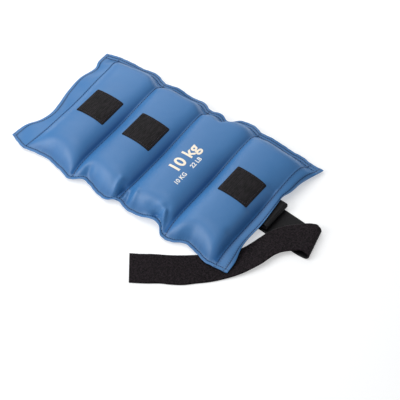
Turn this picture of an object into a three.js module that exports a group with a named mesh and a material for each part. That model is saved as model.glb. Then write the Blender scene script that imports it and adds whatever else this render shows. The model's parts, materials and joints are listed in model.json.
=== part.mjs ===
// Ankle cuff weight: four shot-filled cells in one stitched vinyl cuff, an unfilled flap at one end,
// hook patches on three cells, and a loop strap sewn under the other end.
// Millimetres, +Z up. X runs along the cuff towards the strap, Y across it. The origin is the middle
// of the flat underside of cell 3. Every ply, fill, patch, thread row and ribbon is a slab: a grid of
// points on its upper side, the same grid on its lower side, and walls round the edge.
import * as THREE from 'three';

// Driving dimensions
const CELL_COUNT = 4;
const CELL_PITCH = 86; // seam to seam
const FIRST_SEAM_X = -215; // the seam between the flap and cell 1
const INNER_SEAM_Z = 14.5; // height of a seam between two filled cells
const FLAP_SEAM_Z = 10.5; // height of the seam at the flap
const STRAP_SEAM_Z = 12; // height of the seam at the strap end
const CROWN = 21.2; // how far a cell swells above its seams
const SWELL = 0.25; // how much fuller than a parabola the crown is
const END_STITCH_Y = 105; // the stitch line that closes each end of a cell
const HEM_WIDTH = 11; // flat hem outside that stitch line
const HEM_Z = 6; // height of the hem between its two plies
const END_MARGIN = 17; // flat margin outside the last seam, where the strap is sewn
const PLY = 0.9; // vinyl sheet
const GAP = 0.3; // air left between neighbouring solids
const TABLE_FLARE = 26; // width of the band where the underside curves down to the table
const END_FLARE = 24; // the same at the ends of a cell
const END_POWER = 5; // how late a cell falls away towards its ends
const SEAM_CLEARANCE = 0.35; // from a seam's axis to the cells beside it
const FOLD_RELIEF = 0.8; // how fast a cell narrows below its seam's axis, so that it can wrap
const TAPER = 2; // a ply thins to a feather edge over this distance from a seam
const FEATHER = 0.25; // thickness of that edge

const TAPE_WIDTH = 50.8; // 2 in hook and loop tape
const HOOK_THICK = 1.2;
const HOOK_CELLS = [1, 2, 4];
const HOOK_OFFSET = { 1: [3, -3.5], 2: [3, -1.6], 4: [3, 3.8] }; // patch centre from its cell's centre
const STRAP_THICK = 1.7;

const THREAD_WIDE = 0.6;
const THREAD_THICK = 0.5;
const THREAD_GAP = 0.3;
const SEAM_THREAD_OFFSET = 1.2;
const HEM_STITCH_Y = 110.5;
const PATCH_STITCH_INSET = 3;

const FLAP_EDGE_X = -238; // outer edge of the flap at mid width
const FLAP_CORNER_REACH = 11; // how much further out its corners are
const FLAP_CORNER_TUCK = 7; // how much shorter than the cells the flap's outer edge is
const FLAP_EDGE_Z = 1.4; // height of that edge between its two plies

const material = (color, roughness) => new THREE.MeshStandardMaterial({ color, roughness, metalness: 0 });
const VINYL = material(0x5989b1, 0.42);
const SHOT = new THREE.MeshStandardMaterial({ color: 0x5c5f66, roughness: 0.5, metalness: 0.8 });
const HOOK = material(0x29252b, 0.8);
const LOOP = material(0x1a171b, 0.95);
const NAVY_THREAD = material(0x1b3050, 0.7);
const BLACK_THREAD = material(0x151315, 0.7);

const cuff = new THREE.Group();

function add(name, geometry, look) {
  const mesh = new THREE.Mesh(geometry, look);
  mesh.name = name;
  cuff.add(mesh);
}

// A closed solid between two grids of points. upper(i, j) and lower(i, j) give the same grid's points on
// the two sides. With i along the first direction and j along the second, first x second points out of
// the upper side.
function slab(columns, rows, upper, lower) {
  const positions = [];
  const index = [];
  for (const side of [upper, lower]) {
    for (let i = 0; i <= columns; i += 1) {
      for (let j = 0; j <= rows; j += 1) {
        positions.push(...side(i, j));
      }
    }
  }
  const layer = (columns + 1) * (rows + 1);
  const at = (i, j, below) => i * (rows + 1) + j + (below ? layer : 0);
  const quad = (a, b, c, d) => index.push(a, b, c, a, c, d);
  for (let i = 0; i < columns; i += 1) {
    for (let j = 0; j < rows; j += 1) {
      quad(at(i, j), at(i + 1, j), at(i + 1, j + 1), at(i, j + 1));
      quad(at(i, j, true), at(i, j + 1, true), at(i + 1, j + 1, true), at(i + 1, j, true));
    }
  }
  for (let i = 0; i < columns; i += 1) {
    quad(at(i, 0), at(i, 0, true), at(i + 1, 0, true), at(i + 1, 0));
    quad(at(i, rows), at(i + 1, rows), at(i + 1, rows, true), at(i, rows, true));
  }
  for (let j = 0; j < rows; j += 1) {
    quad(at(0, j), at(0, j + 1), at(0, j + 1, true), at(0, j, true));
    quad(at(columns, j), at(columns, j, true), at(columns, j + 1, true), at(columns, j + 1));
  }
  const geometry = new THREE.BufferGeometry();
  geometry.setAttribute('position', new THREE.Float32BufferAttribute(positions, 3));
  geometry.setIndex(index);
  geometry.computeVertexNormals();
  return geometry;
}

const lerp = THREE.MathUtils.lerp;

// 1 at mid width, falling to 0 at the end stitch line and beyond it
function endFall(y) {
  return 1 - Math.min(Math.abs(y) / END_STITCH_Y, 1) ** END_POWER;
}

// Height of a seam of the given mid height, which runs down to the hem at both ends
function seamHeight(midHeight, y) {
  return lerp(HEM_Z, midHeight, endFall(y));
}

function flare(distance, width) {
  return Math.max(1 - distance / width, 0) ** 2;
}

const seamX = (k) => FIRST_SEAM_X + CELL_PITCH * k;
const seamMidHeight = (k) => ({ 0: FLAP_SEAM_Z, [CELL_COUNT]: STRAP_SEAM_Z })[k] ?? INNER_SEAM_Z;

// One cell's shape. side is -1 at its left seam, 0 in the middle and 1 at its right seam.
class Cell {
  constructor(number) {
    this.number = number;
    this.middle = seamX(number) - CELL_PITCH / 2;
    this.leftHeight = seamMidHeight(number - 1);
    this.rightHeight = seamMidHeight(number);
  }

  halfWidth(side, y) {
    const height = side < 0 ? this.leftHeight : this.rightHeight;
    return CELL_PITCH / 2 - SEAM_CLEARANCE - FOLD_RELIEF * (height - seamHeight(height, y));
  }

  x(side, y) {
    return this.middle + side * this.halfWidth(side, y);
  }

  side(x, y) {
    const offset = x - this.middle;
    return offset / this.halfWidth(offset, y);
  }

  base(side, y) {
    return seamHeight(lerp(this.leftHeight, this.rightHeight, (side + 1) / 2), y);
  }

  ply(side, y) {
    const edge = Math.abs(1 - Math.abs(side)) * this.halfWidth(side, y);
    return lerp(FEATHER, PLY, Math.min(edge / TAPER, 1));
  }

  // underside of the face ply
  faceInner(side, y) {
    const s2 = side * side;
    return this.base(side, y) + GAP / 2 + CROWN * (1 - s2) * (1 + SWELL * s2) * endFall(y);
  }

  faceOuter(side, y) {
    return this.faceInner(side, y) + this.ply(side, y);
  }

  // underside of the back ply, flat on the table in the middle of the cell
  backOuter(side, y) {
    const fromSeam = (1 - Math.abs(side)) * this.halfWidth(side, y);
    const fromEnd = Math.max(END_STITCH_Y - Math.abs(y), 0);
    const lift = 1 - (1 - flare(fromSeam, TABLE_FLARE)) * (1 - flare(fromEnd, END_FLARE));
    return (this.base(side, y) - GAP / 2 - this.ply(side, y)) * lift;
  }

  backInner(side, y) {
    return this.backOuter(side, y) + this.ply(side, y);
  }
}

// Grid lines shared by every solid of a cell, so that neighbouring facets run parallel
const SIDES = [-1, -0.95, -0.84, -0.66, -0.4, -0.14, 0.14, 0.4, 0.66, 0.84, 0.95, 1];
const END_YS = [END_STITCH_Y + HEM_WIDTH, HEM_STITCH_Y, END_STITCH_Y, 100, 93, 83, 68, 45, 16];
const YS = [...END_YS.map((y) => -y), ...END_YS.slice().reverse()];
const cells = Array.from({ length: CELL_COUNT }, (_, k) => new Cell(k + 1));

function panel(cell, upperHeight, lowerHeight) {
  const point = (height) => (i, j) => {
    const [side, y] = [SIDES[i], YS[j]];
    return [cell.x(side, y), y, height(side, y)];
  };
  return slab(SIDES.length - 1, YS.length - 1, point(upperHeight), point(lowerHeight));
}

function shotFill(cell) {
  const sides = SIDES.slice(1, -1);
  const ys = YS.filter((y) => Math.abs(y) < END_STITCH_Y);
  const point = (height) => (i, j) => [cell.x(sides[i], ys[j]), ys[j], height(sides[i], ys[j])];
  return slab(
    sides.length - 1,
    ys.length - 1,
    point((side, y) => cell.faceInner(side, y) - GAP),
    point((side, y) => cell.backInner(side, y) + GAP),
  );
}

// A row of thread on the face of a cell. points is its centreline, and across is its width's direction.
function faceRibbon(cell, points, across) {
  const point = (lift) => (i, j) => {
    const [x, y] = points[i];
    const offset = (j - 0.5) * THREAD_WIDE;
    const [px, py] = [x + across[0] * offset, y + across[1] * offset];
    const over = cell.faceOuter(cell.side(px, py), py);
    return [px, py, over + THREAD_GAP + lift];
  };
  return slab(points.length - 1, 1, point(THREAD_THICK), point(0));
}

function seamThread(cell, seam) {
  const toCell = seam < cell.number ? 1 : -1;
  const edge = (y) => cell.x(-toCell, y) + toCell * (SEAM_THREAD_OFFSET - SEAM_CLEARANCE);
  const ys = YS.slice(1, -1);
  return faceRibbon(cell, ys.map((y) => [edge(y), y]), [-1, 0]);
}

function hemThread(cell, y) {
  const inset = [-0.95, -0.4, 0.4, 0.95];
  return faceRibbon(cell, inset.map((side) => [cell.x(side, y), y]), [0, 1]);
}

// Hook patch: a square of tape that follows the cell's crown
const PATCH_STEPS = 6;

function patchCentre(cell) {
  const [dx, dy] = HOOK_OFFSET[cell.number];
  return [cell.middle + dx, dy];
}

function hookPatch(cell) {
  const [cx, cy] = patchCentre(cell);
  const place = (k) => (k / PATCH_STEPS - 0.5) * TAPE_WIDTH;
  const point = (lift) => (i, j) => {
    const [x, y] = [cx + place(i), cy + place(j)];
    return [x, y, cell.faceOuter(cell.side(x, y), y) + GAP + lift];
  };
  return slab(PATCH_STEPS, PATCH_STEPS, point(HOOK_THICK), point(0));
}

// The patch's stitching is a closed square ring: round its four sides, one step more than once round.
function hookPatchThread(cell) {
  const [cx, cy] = patchCentre(cell);
  const half = TAPE_WIDTH / 2 - PATCH_STITCH_INSET;
  const corners = [[-1, -1], [1, -1], [1, 1], [-1, 1]];
  const ring = [];
  corners.forEach(([ax, ay], k) => {
    const [bx, by] = corners[(k + 1) % corners.length];
    for (let step = 0; step < PATCH_STEPS; step += 1) {
      const t = step / PATCH_STEPS;
      ring.push([lerp(ax, bx, t), lerp(ay, by, t)]);
    }
  });
  return ringSlab(ring, (u, v, outward, lift) => {
    const reach = half + outward * THREAD_WIDE;
    const [x, y] = [cx + u * reach, cy + v * reach];
    return [x, y, cell.faceOuter(cell.side(x, y), y) + GAP + HOOK_THICK + THREAD_GAP + lift];
  });
}

// A closed rectangular-section ring through the given unit points, counterclockwise
function ringSlab(ring, place) {
  const section = [[1, THREAD_THICK], [0, THREAD_THICK], [0, 0], [1, 0]];
  const positions = ring.flatMap(([u, v]) => section.flatMap(([outward, lift]) => place(u, v, outward, lift)));
  const index = [];
  const at = (i, k) => (i % ring.length) * section.length + (k % section.length);
  for (let i = 0; i < ring.length; i += 1) {
    for (let k = 0; k < section.length; k += 1) {
      index.push(at(i, k), at(i + 1, k), at(i + 1, k + 1), at(i, k), at(i + 1, k + 1), at(i, k + 1));
    }
  }
  const geometry = new THREE.BufferGeometry();
  geometry.setAttribute('position', new THREE.Float32BufferAttribute(positions, 3));
  geometry.setIndex(index);
  geometry.computeVertexNormals();
  return geometry;
}

for (const cell of cells) {
  const name = `cell_${cell.number}`;
  add(`${name}_face_panel`, panel(cell, (s, y) => cell.faceOuter(s, y), (s, y) => cell.faceInner(s, y)), VINYL);
  add(`${name}_back_panel`, panel(cell, (s, y) => cell.backInner(s, y), (s, y) => cell.backOuter(s, y)), VINYL);
  add(`${name}_shot_fill`, shotFill(cell), SHOT);
  add(`${name}_far_hem_thread`, hemThread(cell, HEM_STITCH_Y), NAVY_THREAD);
  add(`${name}_near_hem_thread`, hemThread(cell, -HEM_STITCH_Y), NAVY_THREAD);
  if (HOOK_CELLS.includes(cell.number)) {
    add(`${name}_hook_patch`, hookPatch(cell), HOOK);
    add(`${name}_hook_patch_thread`, hookPatchThread(cell), BLACK_THREAD);
  }
}
// Each seam's thread lies on the side of the seam that moves.
add('seam_1_thread', seamThread(cells[0], 1), NAVY_THREAD);
add('seam_2_thread', seamThread(cells[1], 2), NAVY_THREAD);
add('seam_3_thread', seamThread(cells[3], 3), NAVY_THREAD);
add('seam_4_thread', seamThread(cells[3], 4), NAVY_THREAD);
// The seam beside the flap carries its thread on the cell, because the flap folds over it.
add('seam_0_thread', seamThread(cells[0], 0), NAVY_THREAD);

// End margin: two plies outside the last seam, and the second stitch line, which also holds the strap
const MARGIN_STITCH = 9; // outside the last seam
const lastCell = cells[CELL_COUNT - 1];

function marginRibbon(from, to, upperLift, lowerLift) {
  const ys = to - from > THREAD_WIDE + GAP ? YS : YS.slice(1, -1);
  const point = (lift) => (i, j) => {
    const y = ys[j];
    return [lastCell.x(1, y) + lerp(from, to, i), y, lastCell.base(1, y) + lift];
  };
  return slab(1, ys.length - 1, point(upperLift), point(lowerLift));
}

const plyTop = GAP / 2 + PLY;
const threadLow = plyTop + THREAD_GAP;
const threadHigh = threadLow + THREAD_THICK;
add('end_margin_face_ply', marginRibbon(GAP, END_MARGIN, plyTop, GAP / 2), VINYL);
add('end_margin_back_ply', marginRibbon(GAP, END_MARGIN, -GAP / 2, -plyTop), VINYL);
add(
  'end_margin_thread',
  marginRibbon(MARGIN_STITCH, MARGIN_STITCH + THREAD_WIDE, threadHigh, threadLow),
  NAVY_THREAD,
);

// Flap: two plies and no fill. out runs from 1 at the outer edge to 0 at the seam.
const FLAP_OUTS = [1, 0.8, 0.45, 0.08, 0];

function flapPoint(out, y, lift) {
  const rootHeight = seamHeight(FLAP_SEAM_Z, y);
  const rootX = FIRST_SEAM_X - SEAM_CLEARANCE - FOLD_RELIEF * (FLAP_SEAM_Z - rootHeight);
  const tip = y / YS.at(-1);
  const edgeX = FLAP_EDGE_X - FLAP_CORNER_REACH * tip * tip;
  const height = lerp(rootHeight, FLAP_EDGE_Z, out);
  return [lerp(rootX, edgeX, out), y - FLAP_CORNER_TUCK * tip * out, height + lift];
}

function flapPly(upperLift, lowerLift) {
  const thick = (out) => lerp(FEATHER, PLY, Math.min(out / FLAP_OUTS.at(-2), 1));
  const point = (lift) => (i, j) => flapPoint(FLAP_OUTS[i], YS[j], lift(thick(FLAP_OUTS[i])));
  return slab(FLAP_OUTS.length - 1, YS.length - 1, point(upperLift), point(lowerLift));
}

function flapHemThread() {
  const ys = YS.slice(2, -2);
  const out = FLAP_OUTS[1];
  const side = THREAD_WIDE / (FIRST_SEAM_X - FLAP_EDGE_X);
  const bottom = GAP / 2 + PLY + THREAD_GAP;
  const point = (lift) => (i, j) => flapPoint(out + (0.5 - i) * side, ys[j], bottom + lift);
  return slab(1, ys.length - 1, point(THREAD_THICK), point(0));
}

add('flap_face_ply', flapPly((thick) => GAP / 2 + thick, () => GAP / 2), VINYL);
add('flap_back_ply', flapPly(() => -GAP / 2, (thick) => -GAP / 2 - thick), VINYL);
add('flap_hem_thread', flapHemThread(), NAVY_THREAD);

// Strap: one ribbon of loop tape, in the solids that its folds make. It leaves the margin, rolls back
// under itself, runs out along the table, turns over at an oblique crease and comes back under the
// cuff's corner to its free tail.
const STRAP_HALF = STRAP_THICK / 2;
const STRAP_HINGE_X = seamX(CELL_COUNT) + END_MARGIN + 0.5;
const ROOT_Y = 5.5; // middle of the strap where it is sewn
const RUN_Y = -3; // and where it turns over
const ANCHOR_START_X = seamX(CELL_COUNT) + 2;
const TABLE_Z = 1; // centre of a ribbon lying on the table
const BACK_Z = 5.6; // centre of the layer that runs back under the first
const ROOT_Z = STRAP_SEAM_Z - GAP / 2 - PLY - GAP - STRAP_HALF;
const ROLL_X = STRAP_HINGE_X + 2.7; // where the first layer rolls under
const TUCK_X = 138; // where the second layer turns out again
const FOLD_END_X = 158;
const TURN_START_X = 206;
const ARC_STEPS = 8;

// A ribbon along a path in the XZ plane. middleY gives its centre at each share of its length.
function foldedRibbon(path, middleY) {
  const count = path.length - 1;
  const point = (side) => (i, j) => {
    const [before, after] = [path[Math.max(i - 1, 0)], path[Math.min(i + 1, count)]];
    const along = after.clone().sub(before).normalize();
    const y = middleY(i / count) + (j - 0.5) * TAPE_WIDTH;
    return [path[i].x - along.y * STRAP_HALF * side, y, path[i].y + along.x * STRAP_HALF * side];
  };
  return slab(count, 1, point(1), point(-1));
}

function halfTurn(x, upperZ, lowerZ, clockwise) {
  const middle = (upperZ + lowerZ) / 2;
  const radius = (upperZ - lowerZ) / 2;
  const turn = new THREE.Path();
  turn.absarc(x, middle, radius, Math.PI / 2, clockwise ? -Math.PI / 2 : 1.5 * Math.PI, clockwise);
  return turn.getPoints(ARC_STEPS);
}

const flat = (x, z) => new THREE.Vector2(x, z);
const rootFold = [
  flat(STRAP_HINGE_X + GAP / 2, ROOT_Z),
  ...halfTurn(ROLL_X, ROOT_Z, BACK_Z, true),
  ...halfTurn(TUCK_X, BACK_Z, TABLE_Z, false),
  flat(FOLD_END_X, TABLE_Z),
];
const anchor = [flat(ANCHOR_START_X, ROOT_Z), flat(STRAP_HINGE_X - GAP / 2, ROOT_Z)];
const lowerRun = [flat(FOLD_END_X + GAP, TABLE_Z), flat(TURN_START_X, TABLE_Z)];
const RUN_ROOT_Y = 1;
add('strap_anchor', foldedRibbon(anchor, () => ROOT_Y), LOOP);
add('strap_root_fold', foldedRibbon(rootFold, (t) => lerp(ROOT_Y, RUN_ROOT_Y, t)), LOOP);
add('strap_lower_run', foldedRibbon(lowerRun, (t) => lerp(RUN_ROOT_Y, RUN_Y, t)), LOOP);

// The turn over an oblique crease. across is 0 at the near edge and 1 at the far edge.
const TURN_TOP_Z = 9.2;
const TURN_RADIUS = (TURN_TOP_Z - TABLE_Z) / 2;
const CREASE = [new THREE.Vector2(226, -24.6), new THREE.Vector2(214.5, 24.1)];
const TURN_END = [new THREE.Vector2(212, -23), new THREE.Vector2(205, 27)];

function strapTurn() {
  const rows = 3;
  const steps = ARC_STEPS + 2;
  const near = RUN_Y - TAPE_WIDTH / 2;
  const point = (side) => (i, j) => {
    const across = j / rows;
    const crease = CREASE[0].clone().lerp(CREASE[1], across);
    const end = TURN_END[0].clone().lerp(TURN_END[1], across);
    if (i === 0) {
      return [TURN_START_X + GAP, near + across * TAPE_WIDTH, TABLE_Z + side * STRAP_HALF];
    }
    if (i === steps) {
      return [end.x, end.y, TURN_TOP_Z - side * STRAP_HALF];
    }
    const angle = (Math.PI * (i - 1)) / ARC_STEPS - Math.PI / 2;
    const radius = TURN_RADIUS - side * STRAP_HALF;
    const pivotX = crease.x - TURN_RADIUS - STRAP_HALF;
    return [pivotX + Math.cos(angle) * radius, crease.y, TABLE_Z + TURN_RADIUS + Math.sin(angle) * radius];
  };
  return slab(steps, rows, point(1), point(-1));
}

add('strap_turn', strapTurn(), LOOP);

// The two edges of the ribbon that comes back over the lower run and under the cuff's corner
const HINGE_FAR = [84.1, -124.5];
const HINGE_NEAR = [113.1, -164.8];
const BAND_FAR = [
  [204.7, 27, 9.2], [195, 23.5, 8.2], [186, 16, 6.9], [168.5, 1.3, 5], [154.5, -24, 3.6],
  [146.5, -50, 1.8], [141.5, -68.5, TABLE_Z], [128, -85, TABLE_Z], [98, -112.5, TABLE_Z], [...HINGE_FAR, TABLE_Z],
];
const BAND_NEAR = [
  [211.7, -23.2, 9.2], [204, -28, 7.8], [194, -36, 5.6], [188, -46, 3.6], [183, -61, 2],
  [177, -81, TABLE_Z], [170, -99, TABLE_Z], [153, -124, TABLE_Z], [127, -151.5, TABLE_Z], [...HINGE_NEAR, TABLE_Z],
];
const TAIL_GAP = [-0.24, -0.18]; // GAP along the tail, away from its hinge
const tailStart = ([x, y]) => [x + TAIL_GAP[0], y + TAIL_GAP[1], TABLE_Z];
const TAIL_FAR = [tailStart(HINGE_FAR), [46.7, -150, TABLE_Z], [20.9, -168.1, TABLE_Z]];
const TAIL_NEAR = [tailStart(HINGE_NEAR), [86.7, -182, TABLE_Z], [51.5, -207, TABLE_Z]];

function edgedRibbon(farPoints, nearPoints, steps) {
  const [far, near] = [farPoints, nearPoints].map(
    (points) => new THREE.CatmullRomCurve3(points.map((p) => new THREE.Vector3(...p))).getPoints(steps),
  );
  const edges = [far, near];
  const point = (side) => (i, j) => {
    const { x, y, z } = edges[j][i];
    return [x, y, z + side * STRAP_HALF];
  };
  return slab(steps, 1, point(1), point(-1));
}

add('strap_band', edgedRibbon(BAND_FAR, BAND_NEAR, 36), LOOP);
add('strap_tail', edgedRibbon(TAIL_FAR, TAIL_NEAR, 8), LOOP);

export default cuff;
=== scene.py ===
import json
import math
import random

import bmesh
import bpy
import numpy as np
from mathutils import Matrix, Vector
from mathutils.bvhtree import BVHTree


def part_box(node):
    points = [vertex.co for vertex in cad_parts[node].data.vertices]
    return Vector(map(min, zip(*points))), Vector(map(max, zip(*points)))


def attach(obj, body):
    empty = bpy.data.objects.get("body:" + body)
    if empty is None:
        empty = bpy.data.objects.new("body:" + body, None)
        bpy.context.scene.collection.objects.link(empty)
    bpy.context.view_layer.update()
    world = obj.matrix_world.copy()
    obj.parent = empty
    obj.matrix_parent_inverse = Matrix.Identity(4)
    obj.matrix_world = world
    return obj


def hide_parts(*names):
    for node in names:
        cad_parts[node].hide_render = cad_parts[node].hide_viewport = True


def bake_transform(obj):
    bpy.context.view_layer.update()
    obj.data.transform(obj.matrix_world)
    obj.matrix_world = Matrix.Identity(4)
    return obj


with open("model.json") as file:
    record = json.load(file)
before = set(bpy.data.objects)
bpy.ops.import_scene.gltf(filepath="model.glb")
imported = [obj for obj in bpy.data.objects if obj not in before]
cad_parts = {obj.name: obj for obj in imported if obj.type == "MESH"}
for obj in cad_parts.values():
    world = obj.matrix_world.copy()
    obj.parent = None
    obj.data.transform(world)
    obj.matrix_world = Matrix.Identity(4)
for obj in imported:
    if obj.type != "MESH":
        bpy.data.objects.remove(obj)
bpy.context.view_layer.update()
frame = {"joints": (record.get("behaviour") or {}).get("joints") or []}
MM = 0.001  # shapes below are worked out in millimetres, in the row frame, and made in metres

# ---------------- places taken from the frame
HINGES = {joint["name"]: joint for joint in frame["joints"]}


def hinge_mm(name):
    """A hinge's point in the row frame, in millimetres."""
    return [x / MM for x in HINGES[name]["pos_m"]]


def box_mm(node):
    """A CAD node's two opposite corners, in millimetres."""
    low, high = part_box(node)
    return low / MM, high / MM


SEAM_HINGES = ["flap_hinge", "seam_1_hinge", "seam_2_hinge", "seam_3_hinge"]
SEAM_X = [hinge_mm(name)[0] for name in SEAM_HINGES] + [box_mm("cell_4_face_panel")[1].x]
CELLS = [1, 2, 3, 4]
CELL_MIDDLE = {cell: (SEAM_X[cell - 1] + SEAM_X[cell]) / 2 for cell in CELLS}
PITCH = SEAM_X[2] - SEAM_X[1]
FLAP_EDGE = box_mm("flap_face_ply")[0].x
MARGIN_EDGE = box_mm("end_margin_face_ply")[1].x
HALF_WIDE = box_mm("cell_3_face_panel")[1].y

# Stitches, in millimetres
STITCH_PITCH = 3.5
STITCH_LONG = 1.9
STITCH_HALF = 0.6
SEAM_STITCH_SIDE = 0.5  # the seam rows sit a hair to the right of the groove's middle

# ---------------- camera, light, floor
VIEW_AZIMUTH = math.radians(37.43)
VIEW_ELEVATION = math.radians(53.11)
VIEW_TARGET = Vector((0.0424, -0.0339, 0.0))
VIEW_DISTANCE = 1.8737
LENS = 117.0
SENSOR = 36.0
FAR_CLIP = 20.0
TO_CAMERA = Vector((
    math.sin(VIEW_AZIMUTH) * math.cos(VIEW_ELEVATION),
    -math.cos(VIEW_AZIMUTH) * math.cos(VIEW_ELEVATION),
    math.sin(VIEW_ELEVATION),
))


# Each light's name, place and size in metres, and power in watts. All of them face the cuff.
SOFTBOXES = [
    ("softbox_above", (-0.50, 0.1, 1.25), (0.8, 1.5), 7.5),
    ("softbox_behind", (-0.75, 0.95, 0.65), (1.3, 0.7), 4.5),
    ("softbox_front", (-0.65, -0.95, 0.75), (0.9, 0.7), 10.0),
]
STUDIO_WHITE = (0.96, 0.98, 1.0, 1)
STUDIO_GLOW = 0.40
FLOOR_HALF = 6.0
FLOOR_WHITE = (0.66, 0.665, 0.67, 1)
FLOOR_GLOW = 0.42  # keeps the floor near white under soft light


def put(name, data):
    """A new object in the scene."""
    made = bpy.data.objects.new(name, data)
    bpy.context.collection.objects.link(made)
    return made


def make_camera():
    data = bpy.data.cameras.new("camera")
    data.lens = LENS
    data.sensor_width = SENSOR
    data.clip_end = FAR_CLIP
    camera = put("camera", data)
    camera.location = VIEW_TARGET + TO_CAMERA * VIEW_DISTANCE
    camera.rotation_euler = TO_CAMERA.to_track_quat("Z", "Y").to_euler()
    bpy.context.scene.camera = camera


def area_light(name, place, size, power):
    data = bpy.data.lights.new(name, "AREA")
    data.shape = "RECTANGLE"
    data.size, data.size_y = size
    data.energy = power
    light = put(name, data)
    light.location = place
    light.rotation_euler = (Vector(place) - VIEW_TARGET).to_track_quat("Z", "Y").to_euler()


def make_lights():
    for name, place, size, power in SOFTBOXES:
        area_light(name, place, size, power)
    world = bpy.data.worlds.new("studio")
    world.use_nodes = True
    background = world.node_tree.nodes["Background"]
    background.inputs["Color"].default_value = STUDIO_WHITE
    background.inputs["Strength"].default_value = STUDIO_GLOW
    bpy.context.scene.world = world
    bpy.context.scene.view_settings.view_transform = "Standard"


def make_floor():
    material, _, shader = new_material("floor_white")
    shader.inputs["Base Color"].default_value = FLOOR_WHITE
    shader.inputs["Roughness"].default_value = 0.9
    shader.inputs["Emission Color"].default_value = (1, 1, 1, 1)
    shader.inputs["Emission Strength"].default_value = FLOOR_GLOW
    half = FLOOR_HALF / MM
    corners = [(-half, -half, 0), (half, -half, 0), (half, half, 0), (-half, half, 0)]
    mesh_object("floor", corners, [(0, 1, 2, 3)], material)


# ---------------- materials
CREASE_SHADE_TINT = (0.38, 0.60, 0.72)  # painted shade: the vinyl's colour is multiplied by this deeper blue in the creases between two cells and at the hems, where the light turns bluer


def new_material(name):
    material = bpy.data.materials.new(name)
    material.use_nodes = True
    tree = material.node_tree
    return material, tree, tree.nodes["Principled BSDF"]


def node(tree, kind, **inputs):
    made = tree.nodes.new(kind)
    for key, value in inputs.items():
        made.inputs[key.replace("_", " ")].default_value = value
    return made


def place_nodes(tree):
    """The point in the row frame, in metres."""
    return tree.nodes.new("ShaderNodeTexCoord").outputs["Object"]


def noise(tree, scale, detail=2.0, roughness=0.5, stretch=1.0):
    """Noise in the row frame, drawn out along Y by the given factor."""
    made = node(tree, "ShaderNodeTexNoise", Scale=scale, Detail=detail, Roughness=roughness)
    drawn = tree.nodes.new("ShaderNodeVectorMath")
    drawn.operation = "MULTIPLY"
    drawn.inputs[1].default_value = (1, 1 / stretch, 1)
    tree.links.new(place_nodes(tree), drawn.inputs[0])
    tree.links.new(drawn.outputs["Vector"], made.inputs["Vector"])
    return made.outputs["Fac"]


def ramp(tree, source, stops):
    """Colours along a value, from (place, colour) stops."""
    made = tree.nodes.new("ShaderNodeValToRGB")
    elements = made.color_ramp.elements
    while len(elements) < len(stops):
        elements.new(0.5)
    for element, (place, colour) in zip(elements, stops):
        element.position = place
        element.color = (*colour, 1)
    tree.links.new(source, made.inputs["Fac"])
    return made.outputs["Color"]


def grey(value):
    return (value, value, value)


def bump(tree, shader, height, distance, strength, under=None):
    """Small relief, on top of another relief if one is given. Returns the normal."""
    made = node(tree, "ShaderNodeBump", Strength=strength, Distance=distance)
    tree.links.new(height, made.inputs["Height"])
    if under is not None:
        tree.links.new(under, made.inputs["Normal"])
    tree.links.new(made.outputs["Normal"], shader.inputs["Normal"])
    return made.outputs["Normal"]


def arithmetic(tree, operation, *values):
    """A math node. Each value is a socket or a number."""
    made = tree.nodes.new("ShaderNodeMath")
    made.operation = operation
    for socket, value in zip(made.inputs, values):
        if isinstance(value, (int, float)):
            socket.default_value = value
        else:
            tree.links.new(value, socket)
    return made.outputs[0]


def product(tree, first, second):
    """One colour multiplied by another."""
    made = tree.nodes.new("ShaderNodeMix")
    made.data_type = "RGBA"
    made.blend_type = "MULTIPLY"
    made.inputs["Factor"].default_value = 1.0
    tree.links.new(first, made.inputs["A"])
    tree.links.new(second, made.inputs["B"])
    return made.outputs["Result"]


def cells_of(tree, scale):
    """Distances to the nearest of many points scattered in the row frame."""
    made = tree.nodes.new("ShaderNodeTexVoronoi")
    made.inputs["Scale"].default_value = scale
    tree.links.new(place_nodes(tree), made.inputs["Vector"])
    return made.outputs["Distance"]


def vector_attribute(tree, name):
    made = tree.nodes.new("ShaderNodeAttribute")
    made.attribute_name = name
    parts = tree.nodes.new("ShaderNodeSeparateXYZ")
    tree.links.new(made.outputs["Vector"], parts.inputs[0])
    return parts.outputs


def stitch_hole_shade(tree):
    """Painted shade where needle holes pull the vinyl in: dark spots along the rows, at the stitches' own
    pitch.
    """
    painted_shade, along_row = vector_attribute(tree, "painted_shade"), vector_attribute(tree, "along_row")
    marks = []
    for near, along in zip(painted_shade[:2], along_row[:2]):
        turn = arithmetic(tree, "MULTIPLY", along, 2 * math.pi / STITCH_PITCH)
        wave = arithmetic(tree, "COSINE", turn)
        spot = arithmetic(tree, "MULTIPLY_ADD", wave, 0.5, 0.5)
        marks.append(arithmetic(tree, "MULTIPLY", near, spot))
    return arithmetic(tree, "MAXIMUM", marks[0], marks[1])


def set_finish(tree, shader, tint, roughness, specular=0.5):
    tree.links.new(tint, shader.inputs["Base Color"])
    shader.inputs["Roughness"].default_value = roughness
    shader.inputs["Specular IOR Level"].default_value = specular


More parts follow.
